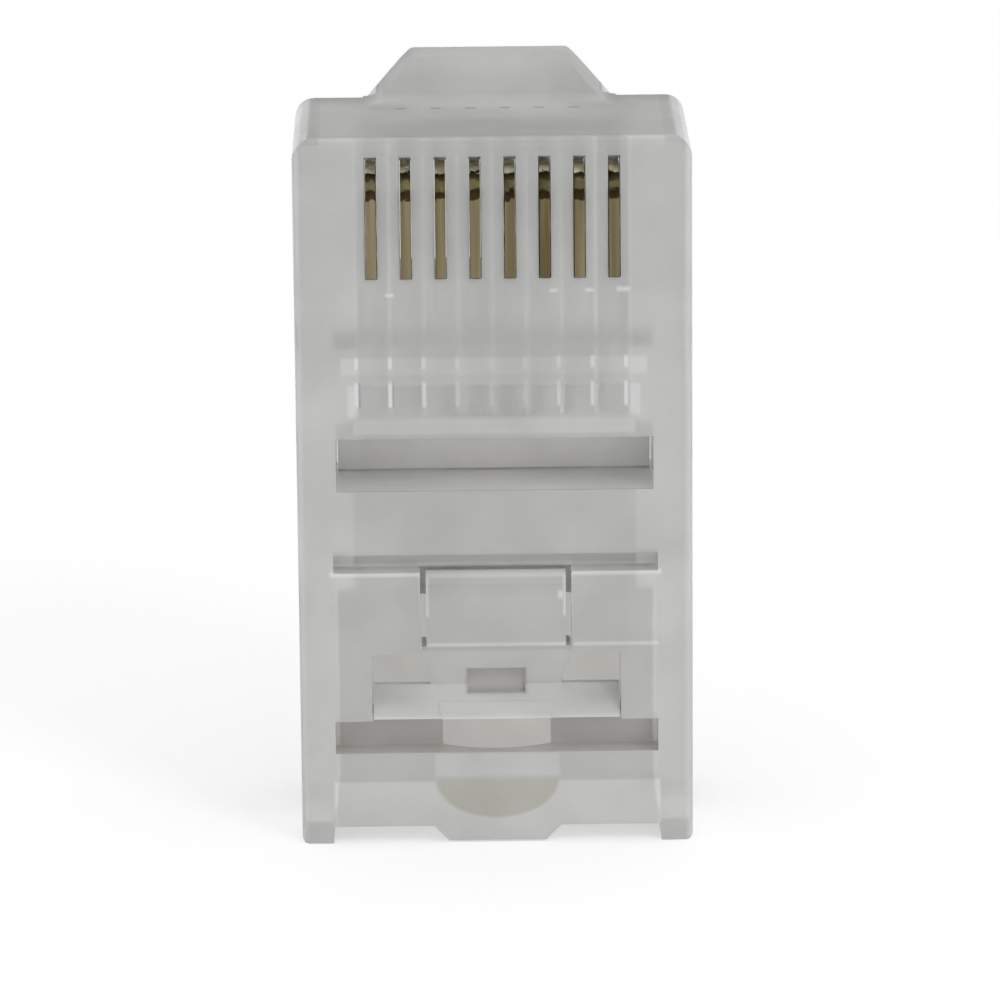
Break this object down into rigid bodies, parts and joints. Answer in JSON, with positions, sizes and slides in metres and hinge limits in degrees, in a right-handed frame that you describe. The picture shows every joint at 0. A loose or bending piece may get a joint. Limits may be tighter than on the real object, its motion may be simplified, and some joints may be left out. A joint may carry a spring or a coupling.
{
  "type": "modular network plug",
  "caption": "Clear modular plug for round network cable, unwired, with contact blades, a sprung latch and crimp grips for wires and jacket.",
  "frame": {"origin": "middle of the cable entry, in the plane of the two feet", "axes": "+Z from the cable end to the nose, -Y out of the contact side, +Y out of the latch side, X across the plug"},
  "size_m": [0.0116, 0.0111, 0.0227],
  "materials": {
    "clear_plastic": "clear moulded, slightly hazy",
    "contact_metal": "gold-plated copper alloy, dull"
  },
  "bodies": {
    "housing": {"housing": "clear_plastic"},
    "latch": {"latch": "clear_plastic"},
    "jacket_tongue": {"jacket_tongue": "clear_plastic"},
    "wire_bar": {"wire_bar": "clear_plastic"},
    "contact_1": {"contact_1": "contact_metal"},
    "contact_2": {"contact_2": "contact_metal"},
    "contact_3": {"contact_3": "contact_metal"},
    "contact_4": {"contact_4": "contact_metal"},
    "contact_5": {"contact_5": "contact_metal"},
    "contact_6": {"contact_6": "contact_metal"},
    "contact_7": {"contact_7": "contact_metal"},
    "contact_8": {"contact_8": "contact_metal"}
  },
  "joints": [
    {"name": "latch_press", "type": "hinge", "parent": "housing", "child": "latch", "pos_m": [0, 0.00418, 0.02074], "axis": [-1, 0, 0], "range_deg": [0, 11], "stiffness_Nm_per_rad": 0.15},
    {"name": "jacket_tongue_crimp", "type": "hinge", "parent": "housing", "child": "jacket_tongue", "pos_m": [0, -0.0029, 0.00794], "axis": [1, 0, 0], "range_deg": [0, 20]},
    {"name": "wire_bar_crimp", "type": "slide", "parent": "housing", "child": "wire_bar", "axis": [0, 1, 0], "range_m": [0, 0.0005]},
    {"name": "contact_1_crimp", "type": "slide", "parent": "housing", "child": "contact_1", "axis": [0, 1, 0], "range_m": [0, 0.00085]},
    {"name": "contact_2_crimp", "type": "slide", "parent": "housing", "child": "contact_2", "axis": [0, 1, 0], "range_m": [0, 0.00085]},
    {"name": "contact_3_crimp", "type": "slide", "parent": "housing", "child": "contact_3", "axis": [0, 1, 0], "range_m": [0, 0.00085]},
    {"name": "contact_4_crimp", "type": "slide", "parent": "housing", "child": "contact_4", "axis": [0, 1, 0], "range_m": [0, 0.00085]},
    {"name": "contact_5_crimp", "type": "slide", "parent": "housing", "child": "contact_5", "axis": [0, 1, 0], "range_m": [0, 0.00085]},
    {"name": "contact_6_crimp", "type": "slide", "parent": "housing", "child": "contact_6", "axis": [0, 1, 0], "range_m": [0, 0.00085]},
    {"name": "contact_7_crimp", "type": "slide", "parent": "housing", "child": "contact_7", "axis": [0, 1, 0], "range_m": [0, 0.00085]},
    {"name": "contact_8_crimp", "type": "slide", "parent": "housing", "child": "contact_8", "axis": [0, 1, 0], "range_m": [0, 0.00085]}
  ]
}
